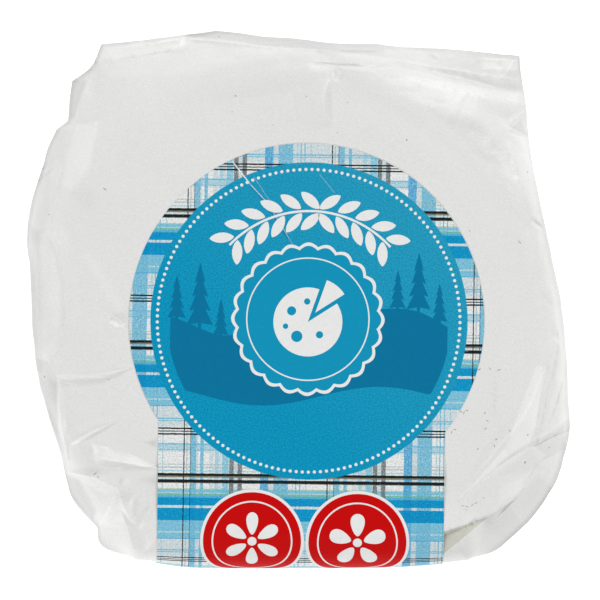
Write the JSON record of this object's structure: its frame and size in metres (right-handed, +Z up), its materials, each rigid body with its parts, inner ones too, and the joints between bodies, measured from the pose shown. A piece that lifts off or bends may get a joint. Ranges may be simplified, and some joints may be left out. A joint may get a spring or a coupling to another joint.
{
  "type": "wrapped camembert cheese",
  "caption": "Round soft cheese shut in a white satin film wrap with two flat rear corners, with a printed paper label over its top and front.",
  "frame": {"origin": "middle of the pack's outline seen from above, on the surface it lies on", "axes": "+Z up, out of the printed top; -Y towards the front, where the label runs down; +X to the right seen from the front"},
  "size_m": [0.1189, 0.1182, 0.032],
  "materials": {
    "satin_film": "thin white satin wrapping film, creased and folded, with a soft sheen",
    "printed_label": "white paper printed in blues with a woven plaid border, semi-matt"
  },
  "bodies": {
    "root": {"wrapped_wheel": "satin_film", "label": "printed_label"}
  },
  "joints": []
}
